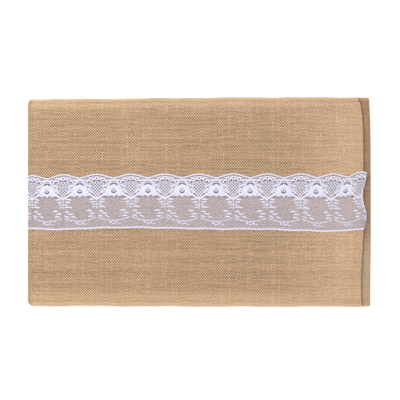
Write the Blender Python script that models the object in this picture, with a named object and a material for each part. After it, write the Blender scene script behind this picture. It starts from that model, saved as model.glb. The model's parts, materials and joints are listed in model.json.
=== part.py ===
"""A burlap table runner with a lace band down its middle, folded once across its length.

The cloth lies folded wrong sides together: the fold is at -X, the two free ends are at +X, and the
lower half reaches a little further than the upper one. The lace is sewn to the right side, so it is
on top of the upper half and underneath the lower one, and it goes round the outside of the fold.

Every layer is placed by its depth: its distance from the plane midway between the two halves. The
lower half lies that far below the plane and the upper half that far above it, and round the fold
the same depth is the radius. The upper half opens about the fold's centre line, like a page.
"""

import math

import bmesh
import bpy
import numpy as np

# Driving dimensions, in metres.
RUNNER_WIDTH = 0.300
LOWER_LENGTH = 0.496  # from the outside of the fold to the lower free end
UPPER_SETBACK = 0.0115  # how far the upper free end stops short of the lower one
CORNER_RADIUS = 0.009  # plan rounding of the two corners at the fold
CLOTH_THICKNESS = 0.0008
SIDE_HEM_WIDTH = 0.008
END_HEM_WIDTH = 0.012
HEM_THICKNESS = 0.0010  # the two pressed turnings under the cloth
LACE_WIDTH = 0.082
LACE_THICKNESS = 0.00085
LACE_CENTRE_Y = -0.0012
SCALLOP_REPEAT = 0.0492  # from one peak of the scalloped edge to the next
SCALLOP_DEPTH = 0.0056  # from the peaks to the dips between them
FIRST_PEAK = 0.004  # along the strip, from the outside of the fold to a peak on the upper half
UPPER_LACE_OVERHANG = 0.004  # lace past the upper free end
LOWER_LACE_SETBACK = 0.002  # lace short of the lower free end
SCALLOP_SEAM_INSET = 0.0193  # from the scalloped edge's peaks to its row of stitches
CORD_SEAM_INSET = 0.0055  # from the straight corded edge to its row of stitches
HEM_SEAM_INSET = 0.0015  # from a hem's inner edge to its row of stitches
THREAD_THICKNESS = 0.00025
THREAD_WIDTH = 0.0005
THREAD_END_MARGIN = 0.0015  # a row stops this far from the edge it runs out to
GAP = 0.0003  # between pieces that touch on the real runner

# Depths of the layers, as pairs of inner and outer, from the middle plane outwards.
HEM_BOBBIN = (GAP / 2, GAP / 2 + THREAD_THICKNESS)
HEM = (HEM_BOBBIN[1] + GAP, HEM_BOBBIN[1] + GAP + HEM_THICKNESS)
CLOTH = (HEM[1] + GAP, HEM[1] + GAP + CLOTH_THICKNESS)
LACE_BOBBIN = (CLOTH[0] - GAP - THREAD_THICKNESS, CLOTH[0] - GAP)
HEM_NEEDLE = (CLOTH[1] + GAP, CLOTH[1] + GAP + THREAD_THICKNESS)
LACE = (CLOTH[1] + GAP, CLOTH[1] + GAP + LACE_THICKNESS)
LACE_NEEDLE = (LACE[1] - THREAD_THICKNESS, LACE[1])
END_NEEDLE = (CLOTH[1] - THREAD_THICKNESS, CLOTH[1])
END_BOBBIN = (HEM[0], HEM[0] + THREAD_THICKNESS)

# Places along X, across Y and up Z that follow from them.
MID_Z = LACE[1]
FOLD_X = -LOWER_LENGTH / 2 + LACE[1]
FLAT_X = FOLD_X + GAP  # where the flat halves start
LOWER_END_X = LOWER_LENGTH / 2
UPPER_END_X = LOWER_END_X - UPPER_SETBACK
EDGE_Y = RUNNER_WIDTH / 2
LACE_FAR_Y = LACE_CENTRE_Y + LACE_WIDTH / 2
LACE_NEAR_Y = LACE_CENTRE_Y - LACE_WIDTH / 2
SCALLOP_SEAM_Y = LACE_FAR_Y - SCALLOP_SEAM_INSET
CORD_SEAM_Y = LACE_NEAR_Y + CORD_SEAM_INSET
HEM_SEAM_Y = EDGE_Y - SIDE_HEM_WIDTH + HEM_SEAM_INSET
LACE_RADIUS = sum(LACE) / 2  # of the fold, at the middle of the lace's thickness
LACE_HALF_TURN = LACE_RADIUS * math.pi / 2  # of the strip, from the fold's outside to its end
GROOVE_WIDTH = THREAD_WIDTH + 2 * GAP
GROOVE_DEPTH = THREAD_THICKNESS + GAP

LOWER, UPPER = -1, 1  # which side of the middle plane a half lies on
END_X = {LOWER: LOWER_END_X, UPPER: UPPER_END_X}
HALF_NAME = {LOWER: "lower", UPPER: "upper"}
FOLD_STEPS = 14
CORNER_STEPS = 7
CORNER_TURN = math.radians(64)  # how much of a quarter circle each rounded corner takes
SCALLOP_STEPS = 6  # cross-sections of the lace in each repeat


def clear_scene():
    for thing in list(bpy.data.objects):
        bpy.data.objects.remove(thing, do_unlink=True)


def finish(name, colour, roughness):
    """A plain non-metallic finish with this colour."""
    made = bpy.data.materials.new(name)
    made.use_nodes = True
    shader = made.node_tree.nodes["Principled BSDF"]
    shader.inputs["Base Color"].default_value = (*colour, 1.0)
    shader.inputs["Roughness"].default_value = roughness
    shader.inputs["Metallic"].default_value = 0.0
    made.diffuse_color = (*colour, 1.0)
    return made


def body(name, sections, material, parent=None):
    """One closed solid through cross-sections that all have the same number of points."""
    sections = np.asarray(sections, float)
    count, around = sections.shape[:2]
    mesh = bpy.data.meshes.new(name)
    made = bmesh.new()
    corners = [made.verts.new(point) for point in sections.reshape(-1, 3)]
    for k in range(count - 1):
        near, far = k * around, (k + 1) * around
        for i in range(around):
            j = (i + 1) % around
            made.faces.new([corners[near + i], corners[near + j], corners[far + j], corners[far + i]])
    made.faces.new(corners[:around])
    made.faces.new(corners[-around:])
    bmesh.ops.recalc_face_normals(made, faces=made.faces)
    made.to_mesh(mesh)
    made.free()
    mesh.materials.append(material)
    mesh.shade_smooth()
    mesh.set_sharp_from_angle(angle=math.radians(40))
    piece = bpy.data.objects.new(name, mesh)
    bpy.context.scene.collection.objects.link(piece)
    if parent:
        piece.parent = parent
        piece.matrix_parent_inverse = parent.matrix_world.inverted()
    return piece


def corner_pull(y):
    """How far the rounded corner draws the fold in, towards +X, at this place across the runner."""
    reach = CORNER_RADIUS * math.sin(CORNER_TURN)
    into = max(0.0, abs(y) - (EDGE_Y - reach))
    return CORNER_RADIUS - math.sqrt(CORNER_RADIUS**2 - into**2)


def corner_rows():
    """Places across the runner at which the rounded corners bend, from the near edge to the far one."""
    turns = np.linspace(0, CORNER_TURN, CORNER_STEPS)
    far = EDGE_Y - CORNER_RADIUS * math.sin(CORNER_TURN) + CORNER_RADIUS * np.sin(turns)
    return np.concatenate([-far[::-1], far])


def rows_between(low, high):
    """Those of the corner rows that lie between two places, with both ends."""
    inside = [y for y in corner_rows() if low + GAP < y < high - GAP]
    return [low, *inside, high]


def flat_sections(half, rows, outline):
    """Cross-sections of a flat layer. outline(start) lists its (x, depth) corners for a start on X."""
    return [
        [(x, y, MID_Z + half * depth) for x, depth in outline(FLAT_X + corner_pull(y))]
        for y in rows
    ]


def plain_outline(end, depths):
    """A rectangle from the start to this end."""
    inner, outer = depths
    return lambda start: [(start, inner), (end, inner), (end, outer), (start, outer)]


def fold_sections(rows, depths):
    """Cross-sections of a layer that goes half way round the fold."""
    inner, outer = depths
    angles = np.linspace(math.pi / 2, 3 * math.pi / 2, FOLD_STEPS + 1)
    depth = np.concatenate([np.full(len(angles), outer), np.full(len(angles), inner)])
    angle = np.concatenate([angles, angles[::-1]])
    x = FOLD_X + depth * np.cos(angle)
    z = MID_Z + depth * np.sin(angle)
    return [np.column_stack([x + corner_pull(y), np.full(len(x), y), z]) for y in rows]


def grooved_panel(half):
    """The cloth's outline, with a groove in its right side for the end hem's needle thread."""
    inner, outer = CLOTH
    end = END_X[half]
    middle = end - END_HEM_WIDTH + HEM_SEAM_INSET
    low, high = middle - GROOVE_WIDTH / 2, middle + GROOVE_WIDTH / 2
    floor = outer - GROOVE_DEPTH
    return lambda start: [
        (start, inner),
        (end, inner),
        (end, outer),
        (high, outer),
        (high, floor),
        (low, floor),
        (low, outer),
        (start, outer),
    ]


def grooved_end_hem(half):
    """The end hem's outline, with a groove in its wrong side for its bobbin thread."""
    inner, outer = HEM
    end = END_X[half]
    start = end - END_HEM_WIDTH
    middle = start + HEM_SEAM_INSET
    low, high = middle - GROOVE_WIDTH / 2, middle + GROOVE_WIDTH / 2
    floor = inner + GROOVE_DEPTH
    corners = [
        (start, inner),
        (low, inner),
        (low, floor),
        (high, floor),
        (high, inner),
        (end, inner),
        (end, outer),
        (start, outer),
    ]
    return lambda _: corners


def make_cloth(upper_half, material):
    """The burlap: one strip of cloth, here as its lower half, its upper half and the fold."""
    for half, parent in ((LOWER, None), (UPPER, upper_half)):
        name = f"burlap_{HALF_NAME[half]}_panel"
        body(name, flat_sections(half, corner_rows(), grooved_panel(half)), material, parent)
    body("burlap_fold", fold_sections(corner_rows(), CLOTH), material)


def make_side_hems(upper_half, material):
    """The double turnings along both long edges, on the cloth's wrong side."""
    for side, low, high in (
        ("far", EDGE_Y - SIDE_HEM_WIDTH, EDGE_Y),
        ("near", -EDGE_Y, -EDGE_Y + SIDE_HEM_WIDTH),
    ):
        rows = rows_between(low, high)
        for half, parent in ((LOWER, None), (UPPER, upper_half)):
            end = END_X[half] - END_HEM_WIDTH - GAP
            sections = flat_sections(half, rows, plain_outline(end, HEM))
            body(f"{side}_side_hem_{HALF_NAME[half]}", sections, material, parent)
        body(f"{side}_side_hem_fold", fold_sections(rows, HEM), material)


def make_end_hems(upper_half, material):
    """The double turnings across the two free ends, on the cloth's wrong side."""
    for half, parent in ((LOWER, None), (UPPER, upper_half)):
        sections = flat_sections(half, [-EDGE_Y, EDGE_Y], grooved_end_hem(half))
        body(f"end_hem_{HALF_NAME[half]}", sections, material, parent)


def lace_far_edge(along):
    """The scalloped edge's place across the runner, at this distance along the strip from the
    outside of the fold: half a cosine wave and half a row of arches, so that the peaks are round
    and the dips between them narrow."""
    phase = math.pi * (along - FIRST_PEAK) / SCALLOP_REPEAT
    wave = (1 - math.cos(2 * phase)) / 2
    arches = 1 - abs(math.cos(phase))
    return LACE_FAR_Y - SCALLOP_DEPTH * (wave + arches) / 2


def lace_outline(along):
    """The lace's (y, depth) corners, with a groove in its right side for each row of stitches."""
    inner, outer = LACE
    floor = outer - GROOVE_DEPTH
    far = lace_far_edge(along)
    corners = [(LACE_NEAR_Y, inner), (far, inner), (far, outer)]
    for seam in (SCALLOP_SEAM_Y, CORD_SEAM_Y):
        low, high = seam - GROOVE_WIDTH / 2, seam + GROOVE_WIDTH / 2
        corners += [(high, outer), (high, floor), (low, floor), (low, outer)]
    return corners + [(LACE_NEAR_Y, outer)]


def lace_sections(stations):
    """The lace's outline at each (x, angle, along), the angle being the way its right side faces."""
    return [
        [
            (x + depth * math.cos(angle), y, MID_Z + depth * math.sin(angle))
            for y, depth in lace_outline(along)
        ]
        for x, angle, along in stations
    ]


def flat_lace_stations(half, end):
    """Where the flat lace is cut into sections: its two ends, and each step of its scallops."""
    step = SCALLOP_REPEAT / SCALLOP_STEPS
    start_along = half * LACE_HALF_TURN
    counted = range(math.ceil(-LOWER_LENGTH / step), math.ceil(LOWER_LENGTH / step))
    steps = (half * (FIRST_PEAK + k * step - start_along) for k in counted)
    xs = [FOLD_X + along for along in steps if GAP < FOLD_X + along - FLAT_X < end - FLAT_X - GAP]
    return [
        (x, half * math.pi / 2, start_along + half * (x - FOLD_X)) for x in [FLAT_X, *sorted(xs), end]
    ]


def make_lace(upper_half, material):
    """The lace band: one strip, here as its two flat lengths and the length round the fold."""
    lower_end = LOWER_END_X - LOWER_LACE_SETBACK
    upper_end = UPPER_END_X + UPPER_LACE_OVERHANG
    body("lace_lower", lace_sections(flat_lace_stations(LOWER, lower_end)), material)
    upper = lace_sections(flat_lace_stations(UPPER, upper_end))
    body("lace_upper", upper, material, upper_half)
    turns = np.linspace(math.pi / 2, -math.pi / 2, FOLD_STEPS + 1)
    round_fold = [(FOLD_X, math.pi - turn, turn * LACE_RADIUS) for turn in turns]
    body("lace_fold", lace_sections(round_fold), material)


def thread_rows(seam):
    return [seam - THREAD_WIDTH / 2, seam + THREAD_WIDTH / 2]


def stepped_thread(half):
    """A bobbin thread's outline that lies on the cloth, then climbs over the end hem."""
    inner, outer = LACE_BOBBIN
    high_inner, high_outer = HEM_BOBBIN
    riser = END_X[half] - END_HEM_WIDTH - GAP
    end = END_X[half] - THREAD_END_MARGIN
    return lambda start: [
        (start, outer),
        (riser, outer),
        (riser, high_outer),
        (end, high_outer),
        (end, high_inner),
        (riser - THREAD_THICKNESS, high_inner),
        (riser - THREAD_THICKNESS, inner),
        (start, inner),
    ]


def make_lace_seams(upper_half, material):
    """Two rows of lockstitch along the lace: a needle thread on it, a bobbin thread behind."""
    for row, seam in (("scallop_seam", SCALLOP_SEAM_Y), ("cord_seam", CORD_SEAM_Y)):
        rows = thread_rows(seam)
        for half, parent in ((LOWER, None), (UPPER, upper_half)):
            needle = plain_outline(END_X[half] - THREAD_END_MARGIN - LOWER_LACE_SETBACK, LACE_NEEDLE)
            for thread, outline in (("needle", needle), ("bobbin", stepped_thread(half))):
                name = f"{row}_{thread}_thread_{HALF_NAME[half]}"
                body(name, flat_sections(half, rows, outline), material, parent)
        body(f"{row}_needle_thread_fold", fold_sections(rows, LACE_NEEDLE), material)
        body(f"{row}_bobbin_thread_fold", fold_sections(rows, LACE_BOBBIN), material)


def make_side_hem_seams(upper_half, material):
    """A row of lockstitch along each long edge, through the cloth and its side hem."""
    for side, seam in (("far", HEM_SEAM_Y), ("near", -HEM_SEAM_Y)):
        rows = thread_rows(seam)
        for thread, depths in (("needle", HEM_NEEDLE), ("bobbin", HEM_BOBBIN)):
            name = f"{side}_hem_{thread}_thread"
            for half, parent in ((LOWER, None), (UPPER, upper_half)):
                outline = plain_outline(END_X[half] - THREAD_END_MARGIN, depths)
                sections = flat_sections(half, rows, outline)
                body(f"{name}_{HALF_NAME[half]}", sections, material, parent)
            body(f"{name}_fold", fold_sections(rows, depths), material)


def make_end_hem_seams(upper_half, material):
    """A row of lockstitch across each free end, each thread sunk in its groove."""
    reach = EDGE_Y - THREAD_END_MARGIN
    for half, parent in ((LOWER, None), (UPPER, upper_half)):
        middle = END_X[half] - END_HEM_WIDTH + HEM_SEAM_INSET
        low, high = middle - THREAD_WIDTH / 2, middle + THREAD_WIDTH / 2
        for thread, (inner, outer) in (("needle", END_NEEDLE), ("bobbin", END_BOBBIN)):
            corners = [(low, inner), (high, inner), (high, outer), (low, outer)]
            sections = [
                [(x, y, MID_Z + half * depth) for x, depth in corners] for y in (-reach, reach)
            ]
            body(f"end_hem_{thread}_thread_{HALF_NAME[half]}", sections, material, parent)


def make_upper_half_axis():
    """An empty on the fold's centre line, about which the upper half opens."""
    axis = bpy.data.objects.new("upper_half_axis", None)
    axis.empty_display_size = RUNNER_WIDTH / 10
    axis.location = (FOLD_X, 0, MID_Z)
    bpy.context.scene.collection.objects.link(axis)
    bpy.context.view_layer.update()
    return axis


clear_scene()
axis = make_upper_half_axis()
burlap = finish("Burlap", (0.58, 0.39, 0.21), 0.95)
hemmed_burlap = finish("Turned burlap", (0.52, 0.34, 0.18), 0.95)
lace = finish("White lace", (0.86, 0.85, 0.93), 0.8)
lace_thread = finish("Pale thread", (0.80, 0.76, 0.70), 0.6)
hem_thread = finish("Tan thread", (0.60, 0.43, 0.26), 0.6)
make_cloth(axis, burlap)
make_side_hems(axis, hemmed_burlap)
make_end_hems(axis, hemmed_burlap)
make_lace(axis, lace)
make_lace_seams(axis, lace_thread)
make_side_hem_seams(axis, hem_thread)
make_end_hem_seams(axis, hem_thread)
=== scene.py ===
import json
import math

import bmesh
import bpy
import numpy as np
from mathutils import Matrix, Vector


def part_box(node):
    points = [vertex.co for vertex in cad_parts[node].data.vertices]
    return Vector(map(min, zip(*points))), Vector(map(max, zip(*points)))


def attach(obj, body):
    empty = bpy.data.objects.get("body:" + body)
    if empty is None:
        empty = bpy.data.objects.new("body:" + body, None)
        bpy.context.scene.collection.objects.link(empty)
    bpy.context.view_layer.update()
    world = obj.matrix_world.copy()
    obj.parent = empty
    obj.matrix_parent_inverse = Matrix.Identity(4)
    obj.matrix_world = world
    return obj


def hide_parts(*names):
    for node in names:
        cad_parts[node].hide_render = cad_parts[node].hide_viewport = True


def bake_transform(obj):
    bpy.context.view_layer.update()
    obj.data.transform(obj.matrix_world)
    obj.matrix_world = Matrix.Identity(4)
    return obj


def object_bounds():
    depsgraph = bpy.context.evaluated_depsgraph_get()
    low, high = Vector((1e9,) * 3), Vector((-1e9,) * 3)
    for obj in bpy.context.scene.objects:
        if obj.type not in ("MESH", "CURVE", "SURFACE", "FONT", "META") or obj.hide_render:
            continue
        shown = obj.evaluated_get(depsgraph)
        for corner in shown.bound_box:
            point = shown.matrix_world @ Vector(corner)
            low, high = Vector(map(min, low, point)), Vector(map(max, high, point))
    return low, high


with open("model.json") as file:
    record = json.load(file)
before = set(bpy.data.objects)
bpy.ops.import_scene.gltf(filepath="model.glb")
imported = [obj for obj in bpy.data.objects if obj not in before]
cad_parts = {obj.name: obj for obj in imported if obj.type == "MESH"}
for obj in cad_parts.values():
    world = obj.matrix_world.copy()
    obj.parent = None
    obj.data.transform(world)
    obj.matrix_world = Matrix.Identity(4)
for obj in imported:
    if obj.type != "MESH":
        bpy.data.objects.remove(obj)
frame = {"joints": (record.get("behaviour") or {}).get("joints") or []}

cad_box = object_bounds()
scene = bpy.context.scene

# -----------------------------------------------------------------------------
# Table, daylight and camera. The runner lies folded on a plain white table top under a big soft
# window light from the upper left, and is looked at from straight above.
FLOOR_SIZE = 6.0
VIEW_WIDTH = 0.5750  # across the view, at the height of the runner's top
LENS = 85.0
VIEW_CENTRE = (0.0014, 0.0029)

floor_mesh = bpy.data.meshes.new("table_top")
edge = FLOOR_SIZE / 2
floor_mesh.from_pydata(
    [(-edge, -edge, 0), (edge, -edge, 0), (edge, edge, 0), (-edge, edge, 0)], [], [(0, 1, 2, 3)]
)
floor = bpy.data.objects.new("table_top", floor_mesh)
scene.collection.objects.link(floor)
floor_paint = bpy.data.materials.new("white_table_top")
floor_paint.use_nodes = True
paint = floor_paint.node_tree.nodes["Principled BSDF"]
paint.inputs["Base Color"].default_value = (0.93, 0.93, 0.93, 1)
paint.inputs["Roughness"].default_value = 0.9
paint.inputs["Emission Color"].default_value = (1, 1, 1, 1)
paint.inputs["Emission Strength"].default_value = 0.3
floor_mesh.materials.append(floor_paint)

scene.view_settings.view_transform = "Standard"
sky = bpy.data.worlds.new("white_room")
sky.use_nodes = True
sky.node_tree.nodes["Background"].inputs["Color"].default_value = (1, 1, 1, 1)
sky.node_tree.nodes["Background"].inputs["Strength"].default_value = 0.72
scene.world = sky


def window_light(name, place, power, size):
    """A square soft light at the place, turned towards the middle of the table."""
    lamp = bpy.data.lights.new(name, "AREA")
    lamp.energy = power
    lamp.size = size
    holder = bpy.data.objects.new(name, lamp)
    holder.location = place
    holder.rotation_euler = (-Vector(place)).to_track_quat("-Z", "Y").to_euler()
    scene.collection.objects.link(holder)


window_light("window", (-1.1, 1.0, 1.35), 30.0, 0.9)
window_light("far_wall", (1.3, -0.9, 1.6), 9.0, 1.4)

lens = bpy.data.cameras.new("camera")
lens.lens = LENS
camera = bpy.data.objects.new("camera", lens)
camera.location = (*VIEW_CENTRE, VIEW_WIDTH * LENS / lens.sensor_width + cad_box[1].z)
scene.collection.objects.link(camera)
scene.camera = camera

# -----------------------------------------------------------------------------
# The burlap: one strip of loosely woven jute, folded once across, wrong side in. Its long edges
# are turned twice and stitched, so the cloth rolls round them. It comes here as the lower half,
# the upper half and the short length round the fold, which meet without a gap.
hinge = frame["joints"][0]["pos_m"]
FOLD_X, MID_Z = hinge[0], hinge[2]
LOWER, UPPER = -1, 1
NAMES = {LOWER: "lower", UPPER: "upper"}
BODIES = {LOWER: "lower_half", UPPER: "upper_half"}


def depths(node):
    """(inner, outer) distance of a flat upper piece from the plane midway between the halves."""
    low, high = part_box(node)
    return low.z - MID_Z, high.z - MID_Z


def middle_y(node):
    """The Y of a lengthwise thread's middle line."""
    low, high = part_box(node)
    return (low.y + high.y) / 2


CLOTH_IN, CLOTH_OUT = depths("burlap_upper_panel")
HEM_IN, HEM_OUT = depths("far_side_hem_upper")
EDGE_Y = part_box("burlap_upper_panel")[1].y
END_X = {LOWER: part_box("burlap_lower_panel")[1].x, UPPER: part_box("burlap_upper_panel")[1].x}
END_HEM_X = {half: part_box(f"end_hem_{NAMES[half]}")[0].x for half in (LOWER, UPPER)}
END_HEM_X[LOWER] -= 0.0035  # the lower end's turning is wider, and reaches in under the upper end
SIDE_HEM_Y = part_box("far_side_hem_upper")[0].y
HEM_SEAM_Y = middle_y("far_hem_needle_thread_upper")
CORNER_RADIUS = 0.009  # of the cloth's two corners at the fold
CORNER_EASE = 0.006  # how soon that corner's shortfall fades along the strip
END_EASE = 0.07  # and a free end's bow
DRAWN_IN = 0.0016  # how far the far edge runs in at the fold, turning outwards by the free ends
COARSE, FINE = 0.0035, 0.0008  # spacing of the cloth's rows in its middle and at its hems
SHARP_ANGLE = math.radians(72)


def smooth(t):
    """0 before 0, 1 after 1 and 3tt - 2ttt between."""
    t = np.clip(t, 0, 1)
    return t * t * (3 - 2 * t)


def corner_pull(y):
    """A quarter circle's shortfall: R - sqrt(RR - ii), with i how far y is into the corner."""
    into = np.clip(np.abs(y) - (EDGE_Y - 0.9 * CORNER_RADIUS), 0, 0.9 * CORNER_RADIUS)
    return CORNER_RADIUS - np.sqrt(CORNER_RADIUS**2 - into**2)


def end_bow(half, y):
    """How far in X a free end lies from straight: drawn back as an exponential from the far
    corner, and by smooth steps towards the near one."""
    if half == LOWER:
        corner, reach = 0.0029, 0.03
        near = 0.0008 * smooth((-y - 0.05) / 0.08)
    else:
        corner, reach = 0.0085, 0.017
        near = 0.0036 * smooth((-y - 0.035) / 0.08) - 0.0010 * smooth((-y - 0.125) / 0.025)
    return -corner * np.exp(-(EDGE_Y - y) / reach) - near


def settle(half, s, y):
    """How far the cloth lies from flat, in Z: nothing at the fold and the hems, and between them
    slow sine waves, hanging in the upper half and standing a little proud in the lower one. The
    upper half has a dent, a Gaussian, by its end's near corner."""
    proud, hang, dent_depth, ease = 0.0004, 0.0012, 0.0009, 0.03
    length = END_X[half] - FOLD_X
    room = smooth((EDGE_Y - 0.009 - np.abs(y)) / ease) * smooth(s / ease)
    room = room * smooth((length - 0.013 - s) / ease)
    waves = 0.55 + 0.25 * np.sin(37 * s + 20 * y) + 0.20 * np.sin(66 * s - 31 * y + 1.3)
    if half == LOWER:
        return proud * room * waves
    dent = np.exp(-(((s - length + 0.010) / 0.006) ** 2) - ((y + 0.127) / 0.012) ** 2)
    return -hang * room * waves - dent_depth * dent


def on_strip(q, y, depth, arc, bow=end_bow):
    """Carries a place on the strip to where it lies. q runs along the strip from the outside of
    the fold, up on the upper half and down on the lower one. Within arc of 0 it turns the fold:
    (x, z) = centre + depth (-cos, sin) of q/arc quarter turns. Beyond that it is flat. The long
    edges draw in towards the fold, and waver by two sine waves."""
    q, y, depth = np.broadcast_arrays(np.asarray(q, float), y, depth)
    turn = math.pi / 2 * np.clip(q / arc, -1, 1)
    s = np.maximum(np.abs(q) - arc, 0)
    x = FOLD_X + s + corner_pull(y) * np.exp(-s / CORNER_EASE) - depth * np.cos(turn)
    z = MID_Z + depth * np.sin(turn)
    for half in (LOWER, UPPER):
        there = half * q > arc
        length = END_X[half] - FOLD_X
        x = x + np.where(there, bow(half, y) * np.exp(-np.maximum(length - s, 0) / END_EASE), 0)
        z = z + np.where(there, settle(half, s, y), 0)
    drawn_in = DRAWN_IN * (1 - 1.6 * smooth((x - FOLD_X) / 0.36)) * np.where(y > 0, 1, 0.4)
    waver = 0.00035 * np.sin(57 * x + 2 * np.sign(y)) + 0.0002 * np.sin(131 * x)
    y = y - y / EDGE_Y * (drawn_in + waver)
    return np.stack([x, y, z], axis=-1)


def make_piece(name, points, faces, uv, material):
    """A smooth mesh of faces that all have as many corners, with a UV map in metres of the flat
    strip."""
    mesh = bpy.data.meshes.new(name)
    mesh.vertices.add(len(points))
    mesh.vertices.foreach_set("co", np.ascontiguousarray(points, np.float32).ravel())
    mesh.loops.add(faces.size)
    mesh.loops.foreach_set("vertex_index", np.ascontiguousarray(faces, np.int32).ravel())
    mesh.polygons.add(len(faces))
    starts = np.arange(len(faces), dtype=np.int32) * faces.shape[1]
    mesh.polygons.foreach_set("loop_start", starts)
    mesh.update(calc_edges=True)
    mesh.validate()
    layer = mesh.uv_layers.new(name="flat_cloth")
    layer.data.foreach_set("uv", np.ascontiguousarray(uv[faces.ravel()], np.float32).ravel())
    mesh.shade_smooth()
    mesh.set_sharp_from_angle(angle=SHARP_ANGLE)
    mesh.materials.append(material)
    piece = bpy.data.objects.new(name, mesh)
    scene.collection.objects.link(piece)
    return piece


def place_piece(piece, half):
    """Rides on its half's body; the fold, half 0, only has its transform applied."""
    if half:
        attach(piece, BODIES[half])
    else:
        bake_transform(piece)


def tube_quads(rings, around, closed=False):
    """The faces between rings of points that follow each other, each ring with as many points
    as around. When closed, the last ring is joined to the first."""
    k, i = np.meshgrid(np.arange(rings if closed else rings - 1), np.arange(around), indexing="ij")
    here, there, j = k * around, (k + 1) % rings * around, (i + 1) % around
    return np.stack([here + i, here + j, there + j, there + i], -1).reshape(-1, 4)


def slab(q, outer, inner, arc, noses):
    """Points, faces and UVs of a layer of cloth: the loop of (y, depth) points along its outer
    face and back along its inner one, carried through the stations q. Where an end has a nose,
    the last stations close in on the middle of the thickness in a half circle."""
    thick = np.median(np.abs(outer[:, 1] - inner[:, 1]))
    q = np.asarray(q, float)
    share = np.ones(len(q))
    turns = np.radians([20, 45, 65, 82])  # round a nose
    for at_start, wanted in zip((True, False), noses):
        if wanted:
            way = np.sign(q[1] - q[0]) * (-1 if at_start else 1)
            end = q[0] if at_start else q[-1]
            base = end - way * thick / 2
            round_q = np.concatenate([[base], base + way * thick / 2 * np.sin(turns)])
            round_share = np.concatenate([[1], np.cos(turns)])
            kept = q * way < base * way - FINE / 4
            if at_start:
                q = np.concatenate([round_q[::-1], q[kept]])
                share = np.concatenate([round_share[::-1], share[kept]])
            else:
                q = np.concatenate([q[kept], round_q])
                share = np.concatenate([share[kept], round_share])
    middle, half_way = (outer + inner) / 2, (outer - inner) / 2
    loop = np.concatenate(
        [
            middle[None] + half_way[None] * share[:, None, None],
            (middle[None] - half_way[None] * share[:, None, None])[:, ::-1],
        ],
        axis=1,
    )
    around = loop.shape[1]
    points = on_strip(q[:, None], loop[..., 0], loop[..., 1], arc)
    run = np.concatenate([[0], np.cumsum(np.linalg.norm(np.diff(outer, axis=0), axis=1))])
    across = run - run[-1] / 2
    v = np.concatenate([across, across[::-1]])
    uv = np.stack(np.broadcast_arrays(q[:, None], v[None]), axis=-1).reshape(-1, 2)
    n = np.arange(len(outer) - 1)
    cap = np.stack([n, around - 1 - n, around - 2 - n, n + 1], -1)
    last = cap[:, ::-1] + (len(q) - 1) * around
    quads = np.concatenate([tube_quads(len(q), around), cap, last])
    return outward(points.reshape(-1, 3), quads), uv


def outward(points, quads):
    """The faces, turned round if the closed shape's signed volume is negative."""
    a, b, c, d = (points[quads[:, i]] for i in range(4))
    volume = np.einsum("ij,ij->i", a, np.cross(b, c) + np.cross(c, d)).sum()
    return points, quads if volume > 0 else quads[:, ::-1]


def stations(low, high, fine_low, fine_high):
    """Places between two ends: FINE apart near an end that is asked to be fine, else COARSE."""
    reach = 0.010
    marks = [low]
    if fine_low:
        marks += list(np.arange(low + FINE, low + reach, FINE))
    start, end = marks[-1], high - (reach if fine_high else 0)
    marks += list(np.linspace(start, end, max(2, round((end - start) / COARSE)) + 1)[1:])
    if fine_high:
        marks += list(np.linspace(end, high, round(reach / FINE) + 1)[1:])
    return np.array(marks)


def cloth_rows():
    """The cloth's section across the runner, as outer and inner (y, depth): flat between the
    hems, and at each edge a half circle round to beneath the hem. The stitches draw the outer
    face in along their row, and the hem stands a little fuller between them and the edge."""
    radius = (CLOTH_OUT - HEM_IN) / 2
    inside = radius - (CLOTH_OUT - CLOTH_IN)
    flat = EDGE_Y - radius
    y = stations(-flat, flat, True, True)
    past_seam = np.abs(y) - HEM_SEAM_Y
    drawn = -0.00022 * np.exp(-((past_seam / 0.0009) ** 2))
    fuller = 0.00012 * smooth(past_seam / 0.002) * smooth((flat - np.abs(y)) / 0.001)
    turn = np.radians(np.linspace(90, -90, 9))[1:]
    sections = []
    for depth, size, wave in ((CLOTH_OUT, radius, drawn + fuller), (CLOTH_IN, inside, drawn * 0.6)):
        arc_y, arc_d = flat + size * np.cos(turn), HEM_IN + radius + size * np.sin(turn)
        far = np.stack([arc_y, arc_d], -1)
        near = np.stack([-arc_y[::-1], arc_d[::-1]], -1)
        sections.append(np.concatenate([near, np.stack([y, depth + wave], -1), far]))
    return sections


def feed(tree, socket, value):
    """Sets an input to a number or a colour, or links it to another node's output."""
    if isinstance(value, (int, float)):
        socket.default_value = value
    elif isinstance(value, tuple):
        socket.default_value = (*value, 1)
    else:
        tree.links.new(value, socket)


def calc(tree, operation, *values):
    """Adds a Math node to the tree and returns its result. Values are numbers or sockets."""
    node = tree.nodes.new("ShaderNodeMath")
    node.operation = operation
    for socket, value in zip(node.inputs, values):
        feed(tree, socket, value)
    return node.outputs[0]


def joined(tree, x, y):
    """A vector from two sockets, with z = 0."""
    node = tree.nodes.new("ShaderNodeCombineXYZ")
    feed(tree, node.inputs["X"], x)
    feed(tree, node.inputs["Y"], y)
    return node.outputs[0]


def ramp(tree, value, start, end, most=1.0, kind="SMOOTHSTEP"):
    """0 where the value is at start or before it, rising to most at end."""
    node = tree.nodes.new("ShaderNodeMapRange")
    node.interpolation_type = kind
    node.inputs["From Min"].default_value = start
    node.inputs["From Max"].default_value = end
    node.inputs["To Max"].default_value = most
    tree.links.new(value, node.inputs["Value"])
    return node.outputs[0]


def noise(tree, vector, scale, detail=2.0):
    """Smooth noise between 0 and 1 at the vector."""
    node = tree.nodes.new("ShaderNodeTexNoise")
    node.inputs["Scale"].default_value = scale
    node.inputs["Detail"].default_value = detail
    tree.links.new(vector, node.inputs["Vector"])
    return node.outputs["Fac"]


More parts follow.
